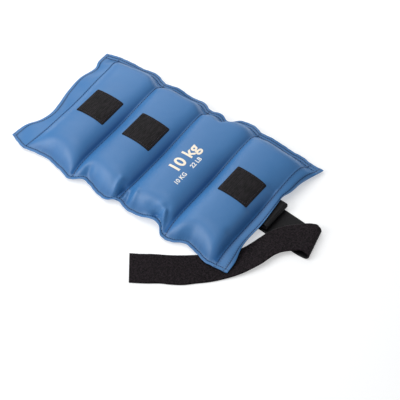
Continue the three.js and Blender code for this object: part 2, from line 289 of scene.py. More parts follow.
def vinyl_material():
    """Satin upholstery vinyl: a fine grain, slightly uneven colour and gloss, with painted shade of a
    deeper blue and a duller gloss in the creases, and painted shade at the needle holes.
    """
    material, tree, shader = new_material("vinyl_blue")
    cloudy = noise(tree, 9.0, 3.0)
    colour = ramp(tree, cloudy, [(0.35, (0.034, 0.156, 0.380)), (0.65, (0.041, 0.172, 0.408))])
    # painted shade: this mask darkens the creases to a deeper blue, and also makes the gloss duller there
    crease = vector_attribute(tree, "painted_shade")[2]
    crease_shade = ramp(tree, crease, [(0.0, grey(1.0)), (1.0, CREASE_SHADE_TINT)])
    # painted shade: the vinyl is darkened nearly to black at each needle hole
    hole_shaded = ramp(tree, stitch_hole_shade(tree), [(0.0, grey(1.0)), (1.0, grey(0.12))])
    tree.links.new(product(tree, product(tree, colour, crease_shade), hole_shaded), shader.inputs["Base Color"])
    gloss = ramp(tree, noise(tree, 60.0, 3.0), [(0.3, grey(0.40)), (0.7, grey(0.50))])
    dull = ramp(tree, crease, [(0.0, grey(0.0)), (1.0, grey(1.0))])
    tree.links.new(arithmetic(tree, "MAXIMUM", gloss, dull), shader.inputs["Roughness"])
    shader.inputs["Specular IOR Level"].default_value = 0.6
    fine = bump(tree, shader, cells_of(tree, 1100.0), 0.0002, 0.25)
    bump(tree, shader, noise(tree, 220.0, 2.0), 0.0006, 0.12, fine)
    return material


def thread_material(name, colour):
    """Twisted polyester thread: a fine oblique ply and a dull sheen."""
    material, tree, shader = new_material(name)
    dark = tuple(x * 0.6 for x in colour)
    tint = ramp(tree, noise(tree, 900.0, 1.0), [(0.35, dark), (0.65, colour)])
    set_finish(tree, shader, tint, 0.8, 0.08)
    bump(tree, shader, noise(tree, 2500.0, 1.0), 0.0002, 0.4)
    return material


def hook_material():
    """Moulded nylon hooks on a woven base: near black, a little warm, with a dry glint."""
    material, tree, shader = new_material("hook_tape")
    streaks = noise(tree, 480.0, 2.0, 0.6, 5.0)
    tint = ramp(tree, streaks, [(0.38, (0.001, 0.0008, 0.001)), (0.62, (0.013, 0.010, 0.0125))])
    set_finish(tree, shader, tint, 0.6, 0.22)
    bump(tree, shader, noise(tree, 2200.0, 1.0), 0.0005, 0.7)
    return material


def pile_material():
    """Brushed loop pile: black, fuzzy, with a soft sheen at grazing angles."""
    material, tree, shader = new_material("loop_pile")
    fuzzy = noise(tree, 420.0, 4.0, 0.7)
    tint = ramp(tree, fuzzy, [(0.40, (0.001, 0.0007, 0.001)), (0.62, (0.021, 0.014, 0.018))])
    set_finish(tree, shader, tint, 1.0, 0.12)
    shader.inputs["Sheen Weight"].default_value = 0.10
    shader.inputs["Sheen Roughness"].default_value = 0.5
    bump(tree, shader, noise(tree, 900.0, 4.0, 0.7), 0.0012, 0.8)
    return material


def webbing_material():
    """The tape's woven back: smooth and fine, with a dark grey sheen."""
    material, tree, shader = new_material("tape_back")
    weave = cells_of(tree, 900.0)
    tint = ramp(tree, weave, [(0.1, (0.009, 0.008, 0.009)), (0.7, (0.003, 0.003, 0.004))])
    set_finish(tree, shader, tint, 0.5, 0.2)
    bump(tree, shader, weave, 0.0003, 0.4)
    return material


def print_material(name, colour):
    """Screen-printed ink: slightly uneven cover, a little glossier than the vinyl."""
    material, tree, shader = new_material(name)
    worn = tuple(x * 0.9 for x in colour)
    tint = ramp(tree, noise(tree, 700.0, 3.0), [(0.3, worn), (0.6, colour)])
    set_finish(tree, shader, tint, 0.4)
    return material


def shot_material():
    """Packed lead shot, seen only when the cuff is cut open."""
    material, tree, shader = new_material("lead_shot")
    grains = cells_of(tree, 420.0)
    tint = ramp(tree, grains, [(0.1, (0.16, 0.165, 0.18)), (0.7, (0.03, 0.03, 0.035))])
    set_finish(tree, shader, tint, 0.45)
    shader.inputs["Metallic"].default_value = 0.9
    bump(tree, shader, grains, 0.002, 0.8)
    return material


# ---------------- mesh helpers
def mesh_object(name, vertices_mm, faces, material):
    mesh = bpy.data.meshes.new(name)
    mesh.from_pydata((np.asarray(vertices_mm, float) * MM).tolist(), [], faces)
    mesh.update()
    mesh.shade_smooth()
    mesh.materials.append(material)
    return put(name, mesh)


def applied(piece):
    """A piece's mesh with its modifiers in it."""
    bpy.context.view_layer.update()
    graph = bpy.context.evaluated_depsgraph_get()
    mesh = bpy.data.meshes.new_from_object(piece.evaluated_get(graph), depsgraph=graph)
    piece.modifiers.clear()
    piece.data = mesh
    return piece


def vertex_array(mesh):
    flat = np.empty(len(mesh.vertices) * 3)
    mesh.vertices.foreach_get("co", flat)
    return flat.reshape(-1, 3)


def vectors_of(mesh, name):
    values = np.empty(len(mesh.vertices) * 3, np.float32)
    mesh.attributes[name].data.foreach_get("vector", values)
    return values.reshape(-1, 3)


def set_vectors(mesh, name, values):
    made = mesh.attributes.new(name, "FLOAT_VECTOR", "POINT")
    made.data.foreach_set("vector", np.asarray(values, np.float32).ravel())


def smooth_step(t):
    t = np.clip(t, 0.0, 1.0)
    return t * t * (3 - 2 * t)


def through(points, at):
    """A smooth curve through listed (place, value) points, read at the given places."""
    places, values = np.array(points, float).T
    slopes = np.gradient(values, places)
    at = np.clip(at, places[0], places[-1])
    k = np.clip(np.searchsorted(places, at) - 1, 0, len(places) - 2)
    width = places[k + 1] - places[k]
    t = (at - places[k]) / width
    rise = values[k + 1] - values[k]
    a = slopes[k] * width - rise
    b = -slopes[k + 1] * width + rise
    return (1 - t) * values[k] + t * values[k + 1] + t * (1 - t) * (a * (1 - t) + b * t)


def quads_of(columns, rows):
    """The faces of a grid whose points are numbered row by row, one column after another."""
    return [
        (i * rows + j, (i + 1) * rows + j, (i + 1) * rows + j + 1, i * rows + j + 1)
        for i in range(columns - 1)
        for j in range(rows - 1)
    ]


def rim_of(columns, rows):
    """The points round the edge of such a grid."""
    rim = [i * rows for i in range(columns)]
    rim += [(columns - 1) * rows + j for j in range(1, rows)]
    rim += [i * rows + rows - 1 for i in range(columns - 2, -1, -1)]
    return rim + list(range(rows - 2, 0, -1))


# ---------------- the cuff's outline, in millimetres
# Each list goes along one edge: (x, y) for the long hems, (y, x) for the two ends. The hems bow out
# between the seams and are drawn in at them, and cell 3 has a kink at each end.
FAR_EDGE = [
    (-250, 102), (-229, 107), (-210, 111), (-187, 113), (-152, 116), (-131, 105.5), (-107, 111), (-79, 112),
    (-61, 113), (-43.5, 104.5), (-25, 108.5), (-6, 106), (2, 117), (13, 122), (27, 122), (42, 117),
    (68, 118.5), (94, 118), (122, 118), (134, 116), (158, 116),
]
NEAR_EDGE = [
    (-254, -109), (-220, -119), (-201, -115), (-184, -113), (-151, -118), (-129, -122), (-120, -118),
    (-111, -112), (-101, -113), (-80, -118), (-60, -118), (-52, -113), (-25, -115.5), (-9, -114.5),
    (21, -109), (28, -110), (34, -118), (44, -122), (55, -120), (75, -111), (97, -114), (116, -118.5),
    (134, -117), (152, -114),
]
FLAP_OUTLINE = [
    (-116, -254), (-104, -253), (-80, -248), (-63, -239), (-42, -234), (-25, -236), (5, -243), (40, -247),
    (69, -242), (95, -247), (116, -247),
]
MARGIN_OUTLINE = [
    (-116, 151), (-97, 150), (-69, 143), (-20, 143.5), (20, 140), (36, 138.5), (46, 142), (75, 145),
    (116, 156),
]
# Heights of the middle of the two plies along the same edges
FAR_Z = [
    (-250, 4), (-215, 5.5), (-150, 5), (-129, 11), (-80, 5), (-43, 11), (-6, 8), (4, 6), (43, 9), (100, 5),
    (158, 5),
]
NEAR_Z = [
    (-254, 3), (-220, 5), (-184, 4), (-151, 4), (-129, 5), (-111, 9), (-100, 6), (-80, 4), (-60, 4.5),
    (-51, 8), (-30, 5), (-9, 6), (20, 11), (28, 9), (36, 5), (55, 4), (75, 5.5), (97, 4), (134, 5),
    (152, 4.5),
]
FLAP_Z = [(-116, 3), (-60, 4.5), (-25, 6.5), (30, 4), (80, 3), (116, 4)]
MARGIN_Z = [(-116, 4.5), (-85, 7), (-50, 11), (-20, 12.4), (36, 12.4), (60, 10.5), (85, 7.5), (116, 5)]
# How far each seam wanders along X at its near end and at its far end
SEAM_DRIFT = [(-8, -8), (0, 0), (-7, 1), (0, 0), (1, 5)]

INNER_SEAM_Z = 16.5  # the grooves seen in the photo are a little shallower than the hinge lines
MARGIN_MID_Z = (box_mm("end_margin_face_ply")[1].z + box_mm("end_margin_back_ply")[1].z) / 2
SEAM_Z = [hinge_mm("flap_hinge")[2]] + [INNER_SEAM_Z] * 3 + [MARGIN_MID_Z]
CROWN_Z = 33.5
CROWN_RISE = CROWN_Z - INNER_SEAM_Z
FAR_SEAM_RISE = 7.0
RISE_FROM, RISE_OVER = -20.0, 90.0  # where along Y the seams start to rise, and over what distance
FLAP_WAVES = [(1.1, 15.0, 0.0), (0.7, 6.5, 2.0)]  # height, length and phase of each
NEAR_FOOT = 5.8  # from the near edge to the foot of the cells
FAR_FOOT = 11.2  # the same at the double-stitched far hem
NEAR_SLOPE, NEAR_POWER = 46.0, 3.0  # length and shape of the rounded slope at a cell's near end
FAR_SLOPE, FAR_POWER = 24.0, 2.0  # and at its far end
ROUNDNESS = 0.35  # how much of a cell's crown is a plain arch, the rest being flat-topped
# How flat-topped: a power at the near end and its change to the far end, by the margin and elsewhere
MARGIN_SHARP, PLAIN_SHARP = (3.5, -2.2), (2.0, 0.8)
SHARP_FROM, SHARP_OVER = -40.0, 90.0  # where along Y it starts to change, and over what distance
SEAM_HALF = 0.7  # half thickness of the plies pressed together at a seam
UNDER_HALF = 1.1  # the most half thickness of the plies on the underside
CELL_EDGE = 0.999  # a share across a cell that still counts as its swelling part
# Half thickness of the hems at distances in from their edge: a rolled edge, then stitched grooves
NEAR_HEM = [(0, 0), (0.8, 1.7), (2, 2.3), (3.2, 2.0), (4.2, 1.2), (4.9, 0.5), (5.8, 0.7)]
FAR_HEM = [
    (0, 0), (0.8, 1.6), (2, 2.1), (3.4, 2.0), (4.4, 1.2), (5, 0.5), (5.7, 1.2), (7.2, 2.1), (8.7, 1.3),
    (9.5, 0.4), (10.2, 0.5), (11.2, 0.9),
]
FLAP_HEM = [
    (0, 0), (0.8, 1.5), (2, 2.0), (3.6, 1.9), (4.8, 1.1), (5.6, 0.4), (6.4, 1.0), (9, 1.2), (40, 1.2),
]
FLAP_HEM_WIDE = 8.0
MARGIN_HEM = [
    (0, 0), (0.8, 1.4), (2, 1.8), (4.4, 1.7), (6.9, 1.1), (7.8, 0.4), (8.7, 1.1), (11, 1.5), (14, 1.3),
    (40, 0.8),
]
# Where the stitch rows lie in from the edges: the thinnest places of the hems
NEAR_ROW = NEAR_HEM[5][0]
FAR_OUTER_ROW = FAR_HEM[5][0]
FAR_INNER_ROW = FAR_HEM[9][0]
FLAP_ROW = FLAP_HEM[5][0]
MARGIN_ROW = MARGIN_HEM[5][0]
# Grid lines in from a seam, and in from the edges of the flap and of the margin
SEAM_LINES = [0, 1.5, 2.6, 4.2, 6.6]
FLAP_LINES = [0, 0.8, 2, 3.6, 4.8, 5.6, 6.4, 9]
FLAP_PLAIN_FROM, FLAP_PLAIN_TO, FLAP_LAST = 12.0, 4.0, 1.5
MARGIN_LINES = [14, 11, 8.7, 7.8, 6.9, 4.4, 2, 0.8, 0]
# From these places on, in |y|, the seams start to wander towards the near and the far hem, and how fast
NEAR_WANDER, FAR_WANDER = (70.0, 45.0), (60.0, 55.0)
# The hems' own outline is taken up from the first place in |y|, and fully after the second distance
OUTLINE_FROM, OUTLINE_OVER = 62.0, 40.0
UNEVEN_FROM, UNEVEN_OVER = 95.0, 15.0  # and the hems' small unevenness likewise
UNDER_SIDE, UNDER_END = 26.0, 24.0  # how far from its seams and ends a cell's underside reaches the table
SEAM_FLAT = 1.5  # half width of the flat strip pressed down along a seam
CELL_STEP = 3.6


def grid_lines():
    """The cover's grid, in its nominal flat layout, close together at the edges, seams and stitch rows."""
    xs = [FLAP_EDGE + d for d in FLAP_LINES]
    xs += list(np.arange(FLAP_EDGE + FLAP_PLAIN_FROM, SEAM_X[0] - FLAP_PLAIN_TO, CELL_STEP))
    xs += [SEAM_X[0] - FLAP_LAST]
    last = SEAM_LINES[-1]
    for left, right in zip(SEAM_X[:-1], SEAM_X[1:]):
        count = round((PITCH - 2 * last) / CELL_STEP)
        xs += [left + d for d in SEAM_LINES[:-1]]
        xs += list(np.linspace(left + last, right - last, count + 1))
        xs += [right - d for d in SEAM_LINES[-2:0:-1]]
    margin_wide = MARGIN_EDGE - SEAM_X[-1]
    xs += [SEAM_X[-1]] + [MARGIN_EDGE - d for d in MARGIN_LINES if d < margin_wide]
    near = [-HALF_WIDE + d for d, _ in NEAR_HEM]
    far = [HALF_WIDE - d for d, _ in reversed(FAR_HEM)]
    count = round((far[0] - near[-1]) / CELL_STEP)
    ys = near[:-1] + list(np.linspace(near[-1], far[0], count + 1)) + far[1:]
    return np.array(xs), np.array(ys)


def seam_share(x):
    """Where x lies between the seams: 0 at the flap seam, 1 at seam 1, and so on."""
    return np.interp(x, SEAM_X, range(len(SEAM_X)))


def outward(x):
    """How far out on the flap and on the margin: 0 at the seam, 1 at the edge."""
    flap_out = np.clip((SEAM_X[0] - x) / (SEAM_X[0] - FLAP_EDGE), 0, 1)
    margin_out = np.clip((x - SEAM_X[-1]) / (MARGIN_EDGE - SEAM_X[-1]), 0, 1)
    return flap_out, margin_out


def lay_out(x, y):
    """Nominal flat place to real place seen from above."""
    wander = np.zeros_like(x)
    near_pull = np.clip((-y - NEAR_WANDER[0]) / NEAR_WANDER[1], 0, 1) ** 2
    far_pull = np.clip((y - FAR_WANDER[0]) / FAR_WANDER[1], 0, 1) ** 2
    for k, (near, far) in enumerate(SEAM_DRIFT):
        share = np.clip(1 - np.abs(seam_share(x) - k), 0, 1)
        wander += share * (near * near_pull + far * far_pull)
    real_x = x + wander
    flap_out, margin_out = outward(x)
    outline = through(FLAP_OUTLINE, y)
    root = SEAM_X[0] + wander
    inner = outline + FLAP_HEM_WIDE + (x - FLAP_EDGE - FLAP_HEM_WIDE) * (
        (root - outline - FLAP_HEM_WIDE) / (SEAM_X[0] - FLAP_EDGE - FLAP_HEM_WIDE)
    )
    hemmed = np.where(x - FLAP_EDGE < FLAP_HEM_WIDE, outline + x - FLAP_EDGE, inner)
    real_x = np.where(flap_out > 0, hemmed, real_x)
    margin = real_x * (1 - margin_out) + through(MARGIN_OUTLINE, y) * margin_out
    real_x = np.where(margin_out > 0, margin, real_x)
    edge = np.where(y > 0, through(FAR_EDGE, real_x), -through(NEAR_EDGE, real_x))
    shift = (edge - HALF_WIDE) * smooth_step((np.abs(y) - OUTLINE_FROM) / OUTLINE_OVER)
    uneven = 0.35 * np.sin(0.55 * x) + 0.3 * np.sin(0.23 * x + 1.0)
    real_y = y + np.sign(y) * (shift + uneven * smooth_step((np.abs(y) - UNEVEN_FROM) / UNEVEN_OVER))
    return real_x, real_y


def from_foot(y):
    """How far in a place is from the foot of the cells, at the end it is nearer to."""
    return np.where(y > 0, HALF_WIDE - FAR_FOOT - y, HALF_WIDE - NEAR_FOOT + y)


def end_fall(y):
    """1 over most of the width, falling to 0 at the foot of the cells."""
    inward = from_foot(y) / np.where(y > 0, FAR_SLOPE, NEAR_SLOPE)
    return 1 - (1 - np.clip(inward, 0, 1)) ** np.where(y > 0, FAR_POWER, NEAR_POWER)


def seam_rise(y):
    """The seams lie less deep towards the far hem."""
    return FAR_SEAM_RISE * smooth_step((y - RISE_FROM) / RISE_OVER)


def middle_height(x, y):
    """Height of the surface between the two plies, from the seams down to the edges."""
    mid = np.interp(x, SEAM_X, SEAM_Z) + seam_rise(y)
    flap_out, margin_out = outward(x)
    ends = np.where(y > 0, through(FAR_Z, x), through(NEAR_Z, x))
    height = ends + (mid - ends) * end_fall(y)
    height = height * (1 - flap_out) + through(FLAP_Z, y) * flap_out
    waves = sum(high * np.sin(y / long + phase) for high, long, phase in FLAP_WAVES)
    height += 4 * flap_out * (1 - flap_out) * waves
    return height * (1 - margin_out) + through(MARGIN_Z, y) * margin_out


def hem_half(x, y):
    """Half thickness of the flat plies."""
    half = np.minimum(
        np.interp(HALF_WIDE - y, *np.array(FAR_HEM).T), np.interp(HALF_WIDE + y, *np.array(NEAR_HEM).T)
    )
    flap = np.interp(x - FLAP_EDGE, *np.array(FLAP_HEM).T)
    margin = np.interp(MARGIN_EDGE - x, *np.array(MARGIN_HEM).T)
    return np.minimum(np.minimum(half, flap), margin)


def across_cell(x):
    """-1 at a cell's left seam, 0 in its middle, 1 at its right seam, and beyond them outside the cells."""
    share = seam_share(x)
    cell = np.clip(np.floor(share), 0, len(CELLS) - 1)
    across = np.clip((2 * (share - cell) - 1) / (1 - 2 * SEAM_FLAT / PITCH), -1, 1)
    return np.where((x < SEAM_X[0]) | (x > SEAM_X[-1]), 1.0, across)


def in_cell(x, y):
    """True on the swelling part of a cell."""
    inside_y = (y > -HALF_WIDE + NEAR_FOOT) & (y < HALF_WIDE - FAR_FOOT)
    return inside_y & (np.abs(across_cell(x)) < CELL_EDGE)


def top_height(x, y):
    """The face: a flat-topped arch across each cell, which falls to the hems at its ends."""
    s2 = across_cell(x) ** 2
    at_margin = (x > CELL_MIDDLE[4]) & (x < SEAM_X[-1])
    far_side = smooth_step((y - SHARP_FROM) / SHARP_OVER)
    by_margin, plain = (near + change * far_side for near, change in (MARGIN_SHARP, PLAIN_SHARP))
    sharpness = np.where(at_margin, by_margin, plain)
    arch = ROUNDNESS * s2 + (1 - ROUNDNESS) * s2**sharpness
    swell = (CROWN_RISE - seam_rise(y)) * (1 - arch) * end_fall(y)
    seam = SEAM_HALF + (1 - SEAM_HALF) * (1 - s2)
    plies = np.where(in_cell(x, y), np.minimum(hem_half(x, y), seam), hem_half(x, y))
    return middle_height(x, y) + plies + swell


def under_height(x, y):
    """The underside: plies pressed together at seams and hems, and flat on the table under the shot."""
    side = (1 - np.abs(across_cell(x))) * PITCH / 2
    end = np.maximum(from_foot(y), 0)
    side_down = 1 - np.clip(1 - side / UNDER_SIDE, 0, 1) ** 2
    end_down = 1 - np.clip(1 - end / UNDER_END, 0, 1) ** 2
    plies = np.minimum(hem_half(x, y), UNDER_HALF)
    return (middle_height(x, y) - plies) * np.where(in_cell(x, y), 1 - side_down * end_down, 1.0)


# ---------------- the cover, blown up as cloth
def make_cover(vinyl):
    """The whole cover as one closed mesh: face blown up and dented, back laid on the table."""
    xs, ys = grid_lines()
    flat_x, flat_y = (a.ravel() for a in np.meshgrid(xs, ys, indexing="ij"))
    real_x, real_y = lay_out(flat_x, flat_y)
    top = np.column_stack([real_x, real_y, top_height(flat_x, flat_y)])
    under = np.column_stack([real_x, real_y, under_height(flat_x, flat_y)])
    quads = quads_of(len(xs), len(ys))
    free = in_cell(flat_x, flat_y)
    top = inflate(top, quads, free, vinyl)
    top = dented(top, free)
    return closed_cover(top, under, quads, xs, ys, (flat_x, flat_y), vinyl)


CLOTH_FRAMES = 22
CLOTH_RULES = {
    "quality": 6,
    "mass": 0.3,
    "air_damping": 4,
    "tension_stiffness": 30,
    "compression_stiffness": 30,
    "shear_stiffness": 12,
    "bending_stiffness": 60,
    "use_pressure": True,
    "uniform_pressure_force": 4,
}
MOVE_CAP = 9.0  # no point of the face may move further than this


def inflate(top, quads, free, vinyl):
    """Cloth simulation: the face swells between its stitched lines, which stay where they are."""
    piece = mesh_object("cover_face", top, quads, vinyl)
    pins = piece.vertex_groups.new(name="stitched")
    pins.add([int(k) for k in np.flatnonzero(~free)], 1.0, "REPLACE")
    cloth = piece.modifiers.new("cloth", "CLOTH")
    rules = cloth.settings
    rules.vertex_group_mass = "stitched"
    for rule, value in CLOTH_RULES.items():
        setattr(rules, rule, value)
    rules.effector_weights.gravity = 0
    cloth.collision_settings.use_collision = False
    cloth.point_cache.frame_start = 1
    cloth.point_cache.frame_end = CLOTH_FRAMES
    scene = bpy.context.scene
    for step in range(1, CLOTH_FRAMES + 1):
        scene.frame_set(step)
    blown = vertex_array(applied(piece).data) / MM
    scene.frame_set(1)
    bpy.data.objects.remove(piece)
    move = blown - top
    reach = np.linalg.norm(move, axis=1, keepdims=True)
    return top + move * np.minimum(1.0, MOVE_CAP / np.maximum(reach, 1e-6))


CREASE_REACH = [3.0, 4.2, 4.2, 4.8, 9.0]  # how far from each seam its painted crease shade reaches
CREASE_LEFT = 2.4  # the darkest painted shade lies left of the stitches
CREASE_FADE, FADE_FROM, FADE_OVER = 0.8, -20.0, 80.0  # how much the painted crease shade fades along Y, from where, and how fast
# strength and reach of the painted shade at the foot of the cells by the hems
HEM_SHADE_STRENGTH, HEM_SHADE_REACH = 0.5, 5.5
SEAM_HOLE_SHADE_REACH, HEM_HOLE_SHADE_REACH = 1.5, 1.1  # how wide the painted needle-hole shade is to each side of a row


def row_places():
    """Where the stitch rows that run along Y and along X lie, in the nominal layout."""
    along_y = [x + SEAM_STITCH_SIDE for x in SEAM_X]
    along_y += [FLAP_EDGE + FLAP_ROW, MARGIN_EDGE - MARGIN_ROW]
    along_x = [-HALF_WIDE + NEAR_ROW, HALF_WIDE - FAR_OUTER_ROW, HALF_WIDE - FAR_INNER_ROW]
    return along_y, along_x


def shade_masks(x, y):
    """Masks for painted shade: nearness to a row along Y, to a row along X (1 on it, 0 a thread's width
    away) for the needle-hole shade, and to a crease for the crease shade.
    """
    along_y, along_x = row_places()
    off_y = np.min([np.abs(x - row) for row in along_y], axis=0)
    off_x = np.min([np.abs(y - row) for row in along_x], axis=0)
    middles = [seam - CREASE_LEFT for seam in SEAM_X]
    from_seam = np.min([np.abs(x - middle) / reach for middle, reach in zip(middles, CREASE_REACH)], axis=0)
    from_hem = from_foot(y)
    at_cells = (from_hem > 0) & (x > SEAM_X[0] - SEAM_FLAT) & (x < SEAM_X[-1] + SEAM_FLAT)
    hem_shade = HEM_SHADE_STRENGTH * np.exp(-((from_hem / HEM_SHADE_REACH) ** 2))
    faded = 1 - CREASE_FADE * smooth_step((y - FADE_FROM) / FADE_OVER)
    seam_shade = np.exp(-(from_seam**2)) * faded
    # painted shade in the creases by the seams and at the foot of the cells
    crease = np.where(at_cells, np.maximum(seam_shade, hem_shade), 0)
    on_y = np.clip(1 - off_y / SEAM_HOLE_SHADE_REACH, 0, 1)
    on_x = np.clip(1 - off_x / HEM_HOLE_SHADE_REACH, 0, 1)
    return np.column_stack([on_y, on_x, crease])


LOWEST = 0.25  # the cover's underside is kept this far above the table


def closed_cover(top, under, quads, xs, ys, flat, vinyl):
    """Face and back joined round the edge, once subdivided, with its place along the rows kept."""
    shared = set(rim_of(len(xs), len(ys)))
    low_of = {}
    vertices = list(top)
    nominal = list(zip(*flat))
    for k in range(len(top)):
        if k in shared:
            low_of[k] = k
        else:
            low_of[k] = len(vertices)
            vertices.append((under[k][0], under[k][1], max(under[k][2], LOWEST)))
            nominal.append(nominal[k])
    faces = quads + [tuple(low_of[k] for k in reversed(q)) for q in quads]
    cover = mesh_object("cover", vertices, faces, vinyl)
    nominal = np.array(nominal, np.float32)
    # the masks that place the painted shade on the vinyl
    set_vectors(cover.data, "painted_shade", shade_masks(nominal[:, 0], nominal[:, 1]))
    along_y = nominal[:, 1] - (-HALF_WIDE + NEAR_ROW)
    along_x = nominal[:, 0] - (FLAP_EDGE + FLAP_ROW)
    set_vectors(cover.data, "along_row", np.column_stack([along_y, along_x, np.zeros(len(nominal))]))
    cover.modifiers.new("fine", "SUBSURF").levels = 1
    return applied(cover)


# Dents and folds on the cells: (start x, y), (end x, y), depth and half width
DENTS = [
    ((3, -100), (12, -103), 3.0, 6.0),
    ((15, -102), (21, -108), 15.0, 5.0),
    ((16, -90), (27, -95), -3.0, 4.5),
    ((27, -95), (28.5, -108), -8.0, 3.4),
    ((35, -99), (37, -108), 4.0, 4.5),
    ((-50, -94), (-47, -112), 9.0, 4.0),
    ((-58, -88), (-57, -106), -5.0, 3.6),
    ((-38, -94), (-35, -112), 7.0, 3.5),
    ((-28, -90), (-25, -112), -3.5, 4.0),
    ((-112, -98), (-108, -113), 5.0, 4.5),
    ((2, 98), (-2, 108), 6.0, 4.5),
    ((127, -66), (119, -68), 2.5, 3.5),
    ((127, -20), (118, -21), 3.0, 3.5),
    ((127, 32), (117, 31), 2.5, 4.0),
]


def dented(top, free):
    place = top[:, :2]
    drop = np.zeros(len(top))
    for start, end, depth, half in DENTS:
        start, end = np.array(start, float), np.array(end, float)
        line = end - start
        share = np.clip((place - start) @ line / (line @ line), 0, 1)
        off = np.linalg.norm(place - start - share[:, None] * line, axis=1)
        drop += depth * np.exp(-((off / half) ** 2))
    lowered = top.copy()
    lowered[:, 2] -= np.where(free, drop, 0)
    return lowered


def panels_of(part):
    return [f"{part}_face_panel", f"{part}_back_panel"]


def hems_of(part):
    return [f"{part}_far_hem_thread", f"{part}_near_hem_thread"]


COVER_PIECES = [
    {"name": "seam_0", "bodies": ("flap", "cell_1"), "panels": ["flap_face_ply", "flap_back_ply"],
     "threads": ["flap_hem_thread", "seam_0_thread"]},
]
COVER_PIECES += [
    {"name": f"seam_{k}", "bodies": (f"cell_{k}", f"cell_{k + 1}"), "panels": panels_of(f"cell_{k}"),
     "threads": [f"seam_{k}_thread"] + hems_of(f"cell_{k}")}
    for k in CELLS[:-1]
]
COVER_PIECES.append(
    {"name": "seam_4", "bodies": ("cell_4",),
     "panels": panels_of("cell_4") + ["end_margin_face_ply", "end_margin_back_ply"],
     "threads": ["seam_4_thread", "end_margin_thread"] + hems_of("cell_4")}
)


def fasten(piece, index):
    """A piece of the cuff rides on the last cell, or else keeps its place, baked into its mesh."""
    bodies = COVER_PIECES[index]["bodies"]
    if len(bodies) == 1:
        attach(piece, bodies[0])
        return
    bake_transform(piece)


def piece_at(nominal_x):
    return int(np.searchsorted([CELL_MIDDLE[cell] for cell in CELLS], nominal_x))


def split_cover(cover, vinyl):
    mesh = cover.data
    places = vertex_array(mesh)
    normals = np.empty(len(mesh.vertices) * 3)
    mesh.vertex_normals.foreach_get("vector", normals)
    normals = normals.reshape(-1, 3)
    nominal = vectors_of(mesh, "along_row")[:, 1] + FLAP_EDGE + FLAP_ROW
    faces = [tuple(p.vertices) for p in mesh.polygons]
    owner = [piece_at(float(np.mean(nominal[list(f)]))) for f in faces]
    for index, spec in enumerate(COVER_PIECES):
        mine = [f for f, who in zip(faces, owner) if who == index]
        used = sorted({k for f in mine for k in f})
        renumber = {k: n for n, k in enumerate(used)}
        kept = [tuple(renumber[k] for k in f) for f in mine]
        piece = mesh_object("cover_" + spec["name"], places[used] / MM, kept, vinyl)
        piece.data.normals_split_custom_set_from_vertices(normals[used].tolist())
        for marks in ("painted_shade", "along_row"):
            set_vectors(piece.data, marks, vectors_of(mesh, marks)[used])
        fasten(piece, index)
        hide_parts(*spec["panels"])


# ---------------- stitches
ABOVE_ALL = 200.0
# A stitch's stations: share of its length, and share of its thickness
STITCH_STATIONS = [(-0.5, 0.35), (-0.38, 0.85), (-0.15, 1.0), (0.15, 1.0), (0.38, 0.85), (0.5, 0.35)]
STITCH_SIDES = 6
STITCH_LIFT, STITCH_BOW = 0.5, 5.5  # how high its middle lies and how far its ends dip, by thickness


def surface(piece):
    """A tree to find the height of a piece's surface with."""
    places = [Vector(p) / MM for p in vertex_array(piece.data)]
    return BVHTree.FromPolygons(places, [tuple(p.vertices) for p in piece.data.polygons])


def drop_on(tree, x, y):
    """Place and normal of the surface under a point, or None where there is none."""
    hit, normal, _, _ = tree.ray_cast(Vector((x, y, ABOVE_ALL)), Vector((0, 0, -1)))
    if hit is None:
        return None
    return hit, normal


def stitch_shape(length, half):
    """One stitch along X: a bowed thread whose two ends dip into the cloth."""
    sides = STITCH_SIDES
    vertices = []
    for share, thick in STITCH_STATIONS:
        height = half * (STITCH_LIFT - STITCH_BOW * share**2)
        for k in range(sides):
            turn = 2 * math.pi * k / sides
            vertices.append((
                share * length, half * thick * math.cos(turn), height + half * thick * math.sin(turn)
            ))
    faces = [
        (a * sides + k, a * sides + (k + 1) % sides, (a + 1) * sides + (k + 1) % sides, (a + 1) * sides + k)
        for a in range(len(STITCH_STATIONS) - 1)
        for k in range(sides)
    ]
    faces.append(tuple(range(sides)))
    faces.append(tuple(range(len(vertices) - 1, len(vertices) - 1 - sides, -1)))
    return np.array(vertices), faces


def sew(tree, run, length, half):
    """Stitches along a run of points, laid on a surface. Returns one (vertices, faces) for each."""
    shape, faces = stitch_shape(length, half)
    sewn = []
    for (x0, y0), (x1, y1) in zip(run[:-1], run[1:]):
        found = drop_on(tree, (x0 + x1) / 2, (y0 + y1) / 2)
        before, after = drop_on(tree, x0, y0), drop_on(tree, x1, y1)
        if found is None or before is None or after is None:
            continue
        along = (after[0] - before[0]).normalized()
        side = Vector((0, 0, 1)).cross(along).normalized()
        up = along.cross(side)
        axes = np.array([along, side, up])
        sewn.append((shape @ axes + np.array(found[0]), faces))
    return sewn


def gathered(parts):
    """Many (vertices, faces) as one."""
    vertices, faces, start = [], [], 0
    for places, polygons in parts:
        vertices.extend(places.tolist())
        faces.extend(tuple(k + start for k in polygon) for polygon in polygons)
        start += len(places)
    return vertices, faces


def stitch_rows():
    """The runs of the cover's stitch rows, in its nominal layout; make_stitches splits them at the middles
    of the cells.
    """
    along_y, along_x = row_places()
    ys = np.arange(min(along_x), max(along_x), STITCH_PITCH)
    xs = np.arange(min(along_y[-2:]), max(along_y[-2:]), STITCH_PITCH)
    rows = [(np.full(len(ys), x), ys) for x in along_y]
    return rows + [(xs, np.full(len(xs), y)) for y in along_x]


